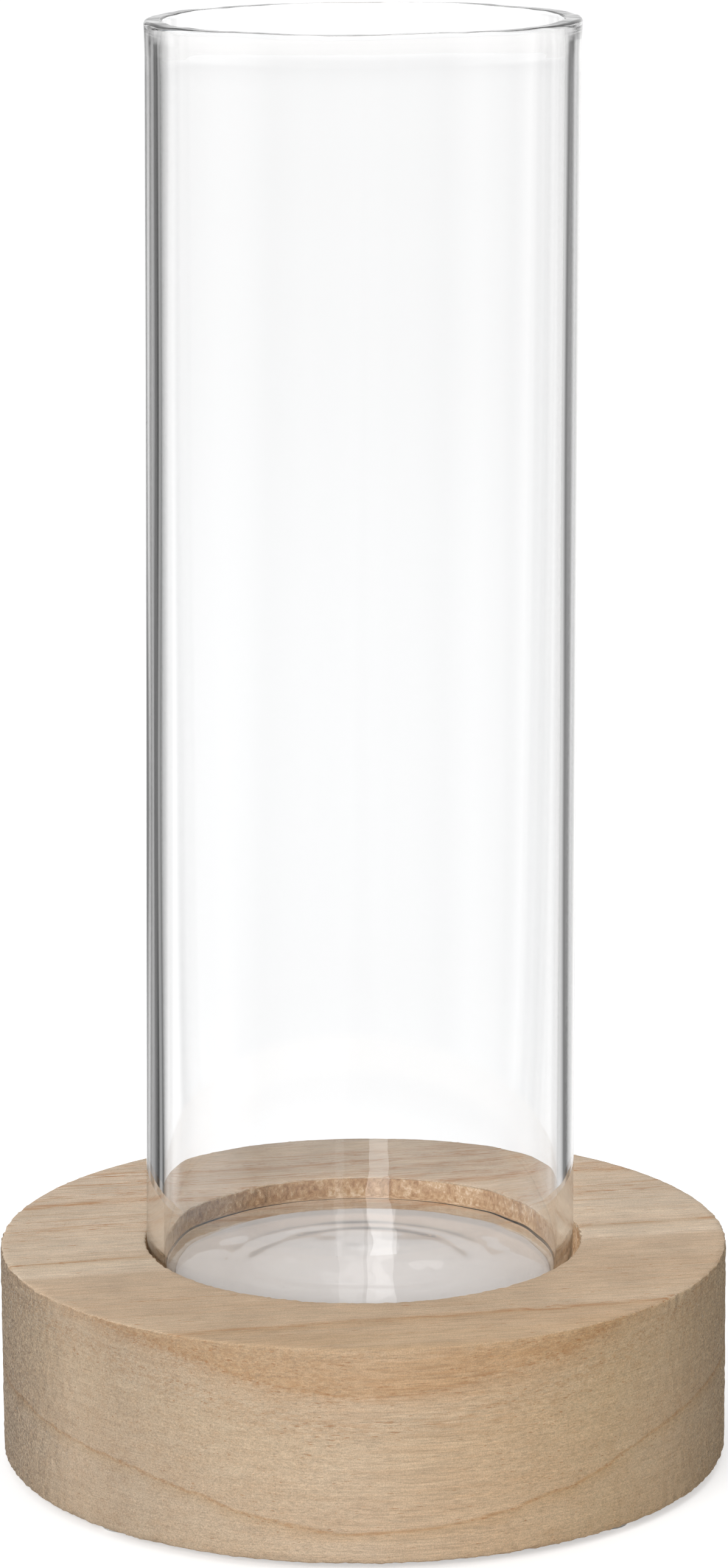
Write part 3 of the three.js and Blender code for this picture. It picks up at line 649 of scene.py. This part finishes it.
def wave_floor(s, points, kinds):
    """The hollow under the floor has two small steps, drawn in at the front, and both faces of the
    floor are slowly uneven, which fades out towards the wall."""
    across = np.hypot(points[..., 0], points[..., 1])
    turn = np.arctan2(points[..., 1], points[..., 0])
    under, floor = (kinds == "under")[:, None], (kinds == "floor")[:, None]
    inner_step, outer_step, softness = 15.4, 18.9, 0.8
    drawn_in = 3.6 * np.clip(-np.sin(turn), 0.0, 1.0) ** 2 + 0.5 * np.sin(3.0 * turn + 0.6)
    steps = 2.0 - np.tanh((across - inner_step + drawn_in) / softness)
    steps = 0.5 * (steps - np.tanh((across - outer_step) / softness))
    level = points * np.array([1.0, 1.0, 0.0])
    uneven = cloud(level, 7.0, 25, 2) * s.unevenness
    fade = np.clip((26.0 - across) / 4.0, 0.0, 1.0)
    points[..., 2] += np.where(under, 0.5 * s.punt_depth * steps + (uneven + s.unevenness) * fade, 0.0)
    slack = cloud(level, 9.0, 26, 2) * s.unevenness * 0.2
    points[..., 2] += np.where(floor, slack * fade, 0.0)


# The studio

WHITE = (1.0, 1.0, 1.0, 1.0)

# The levels of the studio's walls and dark cards by the angle from the back of the vase, in degrees, to the
# left and to the right. A wall is brighter than 1 in places, so a ramp holds the levels divided by
# CARD_LEVEL, and what they colour shines that much stronger.
CARD_LEVEL = 1.25
LEFT_CARDS = (
    (0, 1.1), (10, 1.05), (12, 0.85), (14.5, 0.42), (17, 0.32), (19.5, 0.48), (22.5, 0.60),
    (25.5, 0.42), (28, 0.02), (34.5, 0.02), (37, 0.50), (39.5, 0.42), (42.5, 0.0), (46.5, 0.06),
    (49.5, 0.46), (52, 0.38), (54, 0.70), (56.5, 1.15), (59, 1.05), (62.5, 0.9), (66, 0.55), (71, 0.42),
    (74, 0.28), (77, 0.28), (81, 0.32), (86, 0.48), (97, 0.50), (107, 0.68), (118, 0.45), (130, 0.05),
    (147, 0.25), (180, 0.28),
)
RIGHT_CARDS = (
    (0, 1.1), (10, 1.03), (13, 1.12), (15, 1.24), (17.5, 1.22), (20, 0.93), (22.5, 0.55), (25, 0.17),
    (27.5, 0.0), (33, 0.0), (35, 0.27), (37.5, 0.65), (40, 0.80), (42.5, 0.73), (45, 0.66),
    (47.5, 0.48), (50, 0.60), (52.5, 0.93), (55, 0.92), (57.5, 0.78), (62.5, 0.74), (65, 0.62),
    (67.5, 0.52), (70, 0.48), (80, 0.42), (85, 0.37), (90, 0.19), (95, 0.07), (115, 0.10), (130, 0.02),
    (180, 0.10),
)

# How much more the floor glows far out than under the vase, by the distance in shares of GLOW_REACH metres
GLOW_REACH = 5.0
FLOOR_GLOW = (
    (0.0, 0.0), (0.052, -0.01), (0.084, 0.025), (0.126, 0.065), (0.19, 0.12), (0.28, 0.20), (0.38, 0.25),
    (0.43, 0.258), (0.48, 0.245), (0.52, 0.225), (0.56, 0.24), (0.7, 0.33), (1.0, 0.41),
)


def walls_and_cards(n, place, half_width):
    """The level of a photographer's bright walls and dark cards round glass, at the angle
    t = atan2(x', y) from the back, where x' is x without the stretch from -half_width to half_width.
    Also gives which rays were reflected before, and which are seen directly, by the camera or in a
    reflection or through glass."""
    x, y, _ = n.parts(place)
    inside = n.calc("MAXIMUM", n.calc("MINIMUM", x, half_width), -half_width)
    turn = n.calc("ARCTAN2", n.calc("SUBTRACT", x, inside), y)
    share = n.product(n.calc("ABSOLUTE", turn), 1.0 / math.pi)
    left, right = (
        n.ramp(share, [(degrees / 180.0, level / CARD_LEVEL) for degrees, level in cards])
        for cards in (LEFT_CARDS, RIGHT_CARDS)
    )
    level = n.mix(n.calc("GREATER_THAN", turn, 0.0), left, right)
    ray = n.node("LightPath").outputs
    unscattered = n.calc("LESS_THAN", ray["Diffuse Depth"], 0.5)
    reflected = n.calc("GREATER_THAN", ray["Glossy Depth"], 0.5)
    seen = n.calc("MAXIMUM", ray["Is Camera Ray"], ray["Is Glossy Ray"])
    seen = n.calc("MAXIMUM", seen, ray["Is Transmission Ray"])
    return level, n.product(reflected, unscattered), n.product(seen, unscattered)


def studio_material(name):
    """A new material without nodes, and its nodes."""
    material = bpy.data.materials.new(name)
    n = Nodes(material)
    n.tree.nodes.clear()
    return material, n


def glowing_card(name, points, quads, strength, hidden_from):
    """A card that shines, unseen by the rays that hidden_from names."""
    card = mesh_object(name, points, quads, smooth=False)
    material, n = studio_material(name)
    n.output("Material", n.wired("Emission", WHITE, strength))
    card.data.materials.append(material)
    for rays in hidden_from:
        setattr(card, f"visible_{rays}", False)


def surroundings(scene, s):
    """White where it is seen directly, walls and cards in reflections, and else the fill."""
    scene.world = bpy.data.worlds.new("studio")
    n = Nodes(scene.world)
    n.tree.nodes.clear()
    where = n.node("TexCoord").outputs["Generated"]
    level, reflected, seen = walls_and_cards(n, where, 0.0)
    # Lamps and sky reach through the glass by shadow rays, so scattered rays don't count them twice
    through = n.node("LightPath").outputs["Is Transmission Ray"]
    strength = n.calc("MULTIPLY_ADD", through, -s.fill, s.fill)
    fill = n.wired("Background", (0.96, 0.98, 1.0, 1.0), strength)
    white = n.wired("Background", WHITE, 1.13)
    # Reflections that look upwards see a pale ceiling over the walls and cards
    upwards = n.spread(n.parts(where)[2], 0.02, 0.14)
    room = n.wired("Background", n.mix(upwards, level, (0.72, 0.72, 0.72)), CARD_LEVEL)
    direct = n.wired("MixShader", seen, fill, white)
    n.output("World", n.wired("MixShader", reflected, direct, room))


def studio_floor(s):
    """White paper that glows where it is seen directly, and shows walls and cards to reflections."""
    half, beside_glass = 4000.0, 0.028
    corners = half * np.array([[-1.0, -1.0, 0.0], [1.0, -1.0, 0.0], [1.0, 1.0, 0.0], [-1.0, 1.0, 0.0]])
    table = mesh_object("studio_floor", corners, np.arange(4)[None], smooth=False)
    material, n = studio_material("studio_paper")
    where = n.node("TexCoord").outputs["Object"]
    level, reflected, seen = walls_and_cards(n, where, beside_glass)
    paper = n.wired("BsdfDiffuse", (0.80, 0.80, 0.80, 1.0))
    # The lamps' light on the paper falls off with distance, so the glow that lifts it to white grows
    share = n.product(n.distance(where), 1.0 / GLOW_REACH)
    lift = n.curve(share, [(far, s.floor_glow + more) for far, more in FLOOR_GLOW], straight=True)
    lit = n.wired("AddShader", paper, n.wired("Emission", WHITE, n.product(seen, lift)))
    room = n.wired("Emission", level, CARD_LEVEL)
    n.output("Material", n.wired("MixShader", reflected, lit, room))
    table.data.materials.append(material)


def front_strips():
    """Two bright strips low in front of the vase, seen only as reflections: they draw the upright
    streaks on the front of the glass. Each side of a strip is a row of points x(y) with a little
    noise."""
    count, height = 45, 1.0
    y = np.linspace(-216.0, -128.0, count)
    i = np.arange(count - 1)
    quads = np.stack([i, i + count, i + count + 1, i + 1], 1)
    for name, left, right, wander, strength in (
        ("glint_broad", np.interp(y, (-216, -148, -128), (15.0, 10.0, 8.5)),
         np.interp(y, (-216, -180, -148, -128), (50.0, 43.0, 45.0, 38.0)), 6.0, 3.2),
        ("glint_narrow", np.interp(y, (-216, -128), (-46.0, -28.0)),
         np.interp(y, (-216, -128), (-31.0, -19.0)), 2.0, 0.9),
    ):
        sides = []
        for x, seed in ((left, 31), (right, 32)):
            side = np.stack([x, y, np.full(count, height)], 1)
            side[:, 0] += wander * cloud(side, 14.0, seed, 3)
            sides.append(side)
        hidden_from = ("camera", "diffuse", "transmission", "shadow")
        glowing_card(name, np.concatenate(sides), quads, strength, hidden_from)


def back_cards():
    """Two upright cards far behind the vase, whose light draws the streaks in the glass's foot and
    on the cap."""
    y, low, high = 1500.0, 350.0, 650.0
    cards = (("glint_back", 5.0, 41.5, 1.5), ("glint_back_faint", -25.0, 0.0, 1.18))
    for name, left, right, strength in cards:
        points = np.array([[left, y, low], [right, y, low], [right, y, high], [left, y, high]])
        glowing_card(name, points, np.arange(4)[None], strength, ("camera", "diffuse", "shadow"))


def studio_lamps(scene, s):
    """Three square lamps, as name, place and width in metres, power and colour."""
    white, aim = (1.0, 1.0, 1.0), np.array([0.0, 0.0, 0.06])
    for name, place, width, power, colour in (
        ("key_lamp", (-0.68, -1.28, 0.75), 0.9, s.key_power, white),
        ("top_lamp", (0.15, 0.25, 1.3), 1.0, s.top_power, white),
        ("side_lamp", (-1.0, 0.45, 0.5), 0.7, s.side_power, (0.80, 0.90, 1.0)),
    ):
        lamp = bpy.data.lights.new(name, "AREA")
        lamp.shape = "SQUARE"
        lamp.size = width
        lamp.energy = power
        lamp.color = colour
        holder = bpy.data.objects.new(name, lamp)
        scene.collection.objects.link(holder)
        holder.location = place
        holder.rotation_euler = Vector(aim - np.array(place)).to_track_quat("-Z", "Y").to_euler()
        holder.visible_camera = False
        holder.visible_transmission = False


def studio_camera(scene, s):
    data = bpy.data.cameras.new("camera")
    data.sensor_width = 36.0
    data.lens = s.camera_lens
    data.clip_end = 50.0
    camera = bpy.data.objects.new("camera", data)
    scene.collection.objects.link(camera)
    camera.location = (0.0, -s.camera_distance * MM, s.camera_height * MM)
    turn = Matrix.Rotation(-s.camera_turn, 3, "Z")
    pitch = Matrix.Rotation(math.pi / 2 - s.camera_pitch, 3, "X")
    roll = Matrix.Rotation(-s.camera_roll, 3, "Z")
    camera.rotation_euler = (turn @ pitch @ roll).to_euler()
    scene.camera = camera


# Sizes and settings that a user would change


def number(name, description, default, **more):
    return bpy.props.FloatProperty(name=name, description=description, default=float(default), **more)


def length(name, description, default):
    """A length in millimetres."""
    return number(name, f"{description} in mm", default)


def angle(name, description, degrees):
    """An angle, given in degrees."""
    return number(name, description, math.radians(degrees), subtype="ANGLE")


class GlassSizes(bpy.types.PropertyGroup):
    radius: length("Radius", "Outer radius of the glass at its foot", 29.45)
    taper: length("Taper", "How much narrower the radius is at the rim", 0.62)
    lean: length("Lean", "How far the rim stands to the right of the foot", 1.5)
    wall: length("Wall", "Thickness of the wall", 2.35)
    floor: length("Floor", "Thickness of the floor", 4.4)
    settle: length("Settling", "How far the floor reaches below the solid's floor, onto the cap,", 0.15)
    foot_rounding: length("Foot rounding", "Radius of the outer lower edge", 1.2)
    inner_rounding: length("Inner rounding", "Radius of the inner lower edge", 0.5)
    punt_radius: length("Hollow radius", "Radius of the hollow under the floor", 19.0)
    punt_depth: length("Hollow depth", "Depth of the hollow under the floor", 0.12)
    unevenness: length("Unevenness", "How far the pressed floor wanders from a plane", 0.035)
    rim_swell: length("Rim swell", "How far the melted rim stands out", 0.14)
    rim_rounding: length("Rim rounding", "Radius of the melted edges of the rim", 0.55)
    waviness: length("Waviness", "How far the wall wanders from a true cylinder", 0.03)
    aside: length("Place", "How far the glass stands to the left in its recess", 0.5)


class WoodSizes(bpy.types.PropertyGroup):
    radius: length("Radius", "Outer radius of the wood", 50.0)
    recess_radius: length("Recess radius", "Radius of the recess that the glass stands in,", 30.05)
    recess_floor: length("Recess floor", "Height of the recess floor above the table", 23.35)
    opening_radius: length("Opening radius", "Radius of the opening for the cap", 26.4)
    cavity_radius: length("Cavity radius", "Radius of the cavity for the lamp", 35.947)
    cavity_top: length("Cavity top", "Height of the cavity's ceiling above the table", 18.65)
    rebate_radius: length("Rebate radius", "Radius of the rebate for the flange", 41.747)
    rebate_top: length("Rebate top", "Height of the rebate's ceiling above the table", 2.9)
    torn_depth: length("Torn depth", "Depth of the torn grain in the recess", 0.26)


class CapSizes(bpy.types.PropertyGroup):
    radius: length("Radius", "Radius of the opal cap", 26.2)
    wall: length("Wall", "Thickness of the cap", 1.5)
    rounding: length("Rounding", "Radius of the cap's upper edge", 0.4)
    raised: length("Raised", "How far the cap stands above its solid, up to the glass,", 0.35)


class StudioSettings(bpy.types.PropertyGroup):
    camera_height: length("Camera height", "Height of the camera above the table", 253.38)
    camera_distance: length("Camera distance", "Distance of the camera in front of the axis", 722.35)
    camera_pitch: angle("Camera pitch", "How far the camera looks down", 12.427)
    camera_turn: angle("Camera turn", "How far the camera looks to the right", 0.04)
    camera_roll: angle("Camera roll", "How far the camera leans to the right round its line of sight", 0.35)
    camera_lens: number("Lens", "Focal length in mm on a 36 mm high frame", 125.13)
    key_power: number("Key power", "Front lamp", 13.0, unit="POWER")
    top_power: number("Top power", "Overhead lamp", 4.6, unit="POWER")
    side_power: number("Side power", "Cool lamp", 1.6, unit="POWER")
    floor_glow: number("Floor glow", "Lifts the floor to white", 0.49)
    fill: number("Fill", "Level of the light from all round", 0.42)


# Operators


class VASE_OT_wood(bpy.types.Operator):
    """Make the wooden base as a finely divided ring with worn edges and a torn recess wall"""

    bl_idname = "vase.wood"
    bl_label = "Wooden base"

    def execute(self, context):
        s = context.scene.vase_wood
        low, high, columns = WOOD_LOW, WOOD_HIGH, 720
        outer, soft, sharp, lip = s.radius, 0.8, 0.35, 0.3
        recess, opening, cavity, rebate = s.recess_radius, s.opening_radius, s.cavity_radius, s.rebate_radius
        outline, kinds = joined([
            ("face", line((rebate, low), (outer - soft, low), 8)),
            ("edge", bend((outer - soft, low + soft), soft, -90, 0, 7)),
            ("face", line((outer, low + soft), (outer, high - sharp), 34)),
            ("edge", bend((outer - sharp, high - sharp), sharp, 0, 90, 5)),
            ("face", line((outer - sharp, high), (recess + lip, high), 26)),
            ("edge", bend((recess + lip, high - lip), lip, 90, 180, 4)),
            ("wall", line((recess, high - lip), (recess, s.recess_floor), 17)),
            ("face", line((recess, s.recess_floor), (opening, s.recess_floor), 6)),
            ("hidden", path((opening, s.recess_floor, 4), (opening, s.cavity_top, 4),
                            (cavity, s.cavity_top, 4), (cavity, s.rebate_top, 3),
                            (rebate, s.rebate_top, 2), (rebate, low, 0))),
        ])
        points = turned_grid(outline, columns)
        normal = outward(points)
        cut = np.abs(normal @ FIBRE) ** 2
        edge, shown = (kinds == "edge")[:, None], (kinds != "hidden")[:, None]
        wall = (kinds == "wall")[:, None] * np.ones(columns)
        fuzz = cloud(points, 0.5, 3, 2) * (0.02 + 0.075 * cut + 0.05 * edge)
        wear = cloud(points, 0.9, 5, 2) * 0.07 - 0.05
        rough = np.clip(cloud(points, 9.0, 8) * 1.2 + 0.55, 0.15, 1.0)
        torn = cloud(points, (0.8, 0.8, 1.2), 9, 3) * rough * s.torn_depth
        shift = np.where(edge, fuzz + wear, fuzz) * shown
        shift = np.where(wall > 0, torn * 0.8, shift)
        points = points + normal * shift[..., None]
        base = mesh_object("wooden_base", points.reshape(-1, 3), grid_faces(*points.shape[:2], True))
        # The material reads which points lie on the torn wall
        base.data.attributes.new("torn", "FLOAT", "POINT").data.foreach_set("value", wall.ravel())
        base.data.materials.append(pale_wood())
        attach(base, "base")
        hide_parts("wood_base")
        return {"FINISHED"}


class VASE_OT_glass(bpy.types.Operator):
    """Make the glass with a thick floor, a shallow hollow under it and a melted rim"""

    bl_idname = "vase.glass"
    bl_label = "Glass vessel"

    def execute(self, context):
        s = context.scene.vase_glass
        low, high = GLASS_LOW - s.settle, GLASS_HIGH
        points, kinds = glass_form(s, low, high)
        wave_wall(s, points, kinds)
        wave_floor(s, points, kinds)
        upper = np.isin(kinds, ("outer_neck", "rim", "inner_neck"))[:, None]
        swell = cloud(points, (7.0, 7.0, 30.0), 24, 3)
        points[..., 2] += np.where(upper, 0.13 * swell - 0.1, 0.0)
        # The drawn tube is a trace narrower at the rim and leans a trace
        rise = (points[..., 2] - low) / (high - low)
        points[..., :2] *= 1.0 - rise[..., None] * s.taper / s.radius
        points[..., 0] += rise * s.lean
        glass = capped_piece("clear_vessel", points, points[0, 0, 2], points[-1, 0, 2], -s.aside)
        glass.data.materials.append(clear_glass())
        glass.visible_shadow = False
        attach(glass, "glass")
        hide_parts("glass_vessel")
        return {"FINISHED"}


class VASE_OT_cap(bpy.types.Operator):
    """Make the opal cap under the glass"""

    bl_idname = "vase.cap"
    bl_label = "Opal cap"

    def execute(self, context):
        s = context.scene.vase_cap
        low, high = CAP_LOW, CAP_HIGH + s.raised
        # The foot stands out below, and the inside widens under the shoulder
        outer, edge, foot, foot_top = s.radius, s.rounding, 28.5, 18.35
        step, shoulder = outer - 0.4, 18.15
        inner, ceiling = outer - s.wall, high - s.wall
        outline = np.concatenate([
            path((0.5, ceiling, 6), (inner, ceiling, 3), (inner, shoulder, 2), (step, shoulder, 2),
                 (step, low, 3), (foot, low, 2), (foot, foot_top, 3), (outer, foot_top, 3),
                 (outer, high - edge, 0)),
            bend((outer - edge, high - edge), edge, 0, 90, 8),
            line((outer - edge, high), (0.4, high), 12),
        ])
        cap = capped_piece("opal_disc", turned_grid(outline, 192), ceiling, high)
        cap.data.materials.append(opal_cap())
        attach(cap, "base")
        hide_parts("diffuser")
        return {"FINISHED"}


class VASE_OT_lamp(bpy.types.Operator):
    """Finish the lamp's pieces inside the base"""

    bl_idname = "vase.lamp"
    bl_label = "Lamp inside the base"

    def execute(self, context):
        white = moulded("white_plastic", shade(224, 223, 219), 0.48)
        black = moulded("black_plastic", shade(34, 34, 36), 0.42)
        red = moulded("red_insulation", shade(168, 30, 26), 0.38, 0.5, 0.006)
        dark = moulded("black_insulation", shade(28, 28, 29), 0.38, 0.5, 0.006)
        nickel = brushed("nickel_plate", (0.66, 0.65, 0.62), 0.28, (0.15, 0.15, 4.0))
        zinc = brushed("zinc_steel", (0.58, 0.59, 0.60), 0.34, 1.2)
        wrap, resin, board = cell_wrap(), diode_resin(), circuit_board()
        ceramic = moulded("resistor_body", shade(30, 31, 34), 0.25, 0.2, 0.004)
        pad = rubber()
        finishes = {
            "lamp_housing": white, "housing_cover": white, "battery_hatch": white,
            "switch_body": black, "switch_slider": black, "led_board": board, "led_resistor": ceramic,
            "wire_positive": red, "wire_switched": red, "wire_negative": dark,
            "contact_positive": nickel, "contact_negative": nickel,
            "contact_bridge_left": nickel, "contact_bridge_right": nickel,
        }
        for stem, count, material in (
            ("led", 6, resin), ("battery", 3, wrap), ("battery_spring", 3, nickel),
            ("housing_screw", 4, zinc), ("foot_pad", 4, pad),
        ):
            finishes.update({f"{stem}_{i}": material for i in range(1, count + 1)})
        for node, material in finishes.items():
            dress(node, material)
        return {"FINISHED"}


class VASE_OT_stage(bpy.types.Operator):
    """Set the floor, the lamps, the surroundings and the camera"""

    bl_idname = "vase.stage"
    bl_label = "Studio"

    def execute(self, context):
        s = context.scene.vase_studio
        surroundings(context.scene, s)
        studio_floor(s)
        front_strips()
        back_cards()
        studio_lamps(context.scene, s)
        studio_camera(context.scene, s)
        context.scene.view_settings.view_transform = "Standard"
        return {"FINISHED"}


class VASE_PT_panel(bpy.types.Panel):
    """Lists the pieces of the vase"""

    bl_label = "Lamp Vase"
    bl_idname = "VASE_PT_panel"
    bl_space_type = "VIEW_3D"
    bl_region_type = "UI"
    bl_category = "Lamp Vase"

    def draw(self, context):
        for operator in OPERATORS:
            self.layout.operator(operator.bl_idname)
        for _, pointer in GROUPS:
            self.layout.label(text=pointer)
            for key in getattr(context.scene, pointer).__annotations__:
                self.layout.prop(getattr(context.scene, pointer), key)


OPERATORS = (VASE_OT_wood, VASE_OT_glass, VASE_OT_cap, VASE_OT_lamp, VASE_OT_stage)
GROUPS = (
    (GlassSizes, "vase_glass"),
    (WoodSizes, "vase_wood"),
    (CapSizes, "vase_cap"),
    (StudioSettings, "vase_studio"),
)


def register():
    for group, pointer in GROUPS:
        bpy.utils.register_class(group)
        setattr(bpy.types.Scene, pointer, bpy.props.PointerProperty(type=group))
    for kind in (*OPERATORS, VASE_PT_panel):
        bpy.utils.register_class(kind)


def unregister():
    for kind in (VASE_PT_panel, *reversed(OPERATORS)):
        bpy.utils.unregister_class(kind)
    for group, pointer in reversed(GROUPS):
        delattr(bpy.types.Scene, pointer)
        bpy.utils.unregister_class(group)


def main():
    register()
    bpy.ops.vase.wood()
    bpy.ops.vase.glass()
    bpy.ops.vase.cap()
    bpy.ops.vase.lamp()
    bpy.ops.vase.stage()


if __name__ == "__main__":
    main()
